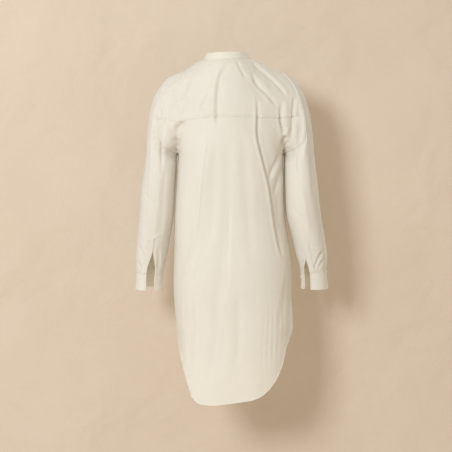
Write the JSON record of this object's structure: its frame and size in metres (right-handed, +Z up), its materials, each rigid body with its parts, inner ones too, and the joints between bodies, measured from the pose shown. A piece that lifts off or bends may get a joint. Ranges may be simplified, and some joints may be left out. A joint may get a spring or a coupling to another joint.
{
  "type": "shirt dress",
  "caption": "Long-sleeved band-collar shirt dress in off-white cotton with a back yoke, open cuffs and a curved shirt-tail hem, filled out as worn.",
  "frame": {"origin": "the middle of the neck opening, level with the crest of the shoulders, where the wearer's neck and shoulders carry it", "axes": "+Z up along the wearer's height, the front faces -Y and the back +Y, +X is the wearer's left"},
  "size_m": [0.555, 0.2557, 1.0001],
  "materials": {
    "cotton": "matte plain weave with fine slubs",
    "button_shell": "satin, slightly pearly"
  },
  "bodies": {
    "root": {"back": "cotton", "yoke": "cotton", "front_left": "cotton", "front_right": "cotton", "front_placket": "cotton", "collar_band": "cotton", "sleeve_left": "cotton", "cuff_left": "cotton", "sleeve_placket_left": "cotton", "sleeve_right": "cotton", "cuff_right": "cotton", "sleeve_placket_right": "cotton", "button_collar": "button_shell", "button_front_1": "button_shell", "button_front_2": "button_shell", "button_front_3": "button_shell", "button_front_4": "button_shell", "button_front_5": "button_shell", "button_front_6": "button_shell", "button_front_7": "button_shell", "button_front_8": "button_shell", "button_cuff_left": "button_shell", "button_cuff_right": "button_shell"}
  },
  "joints": []
}
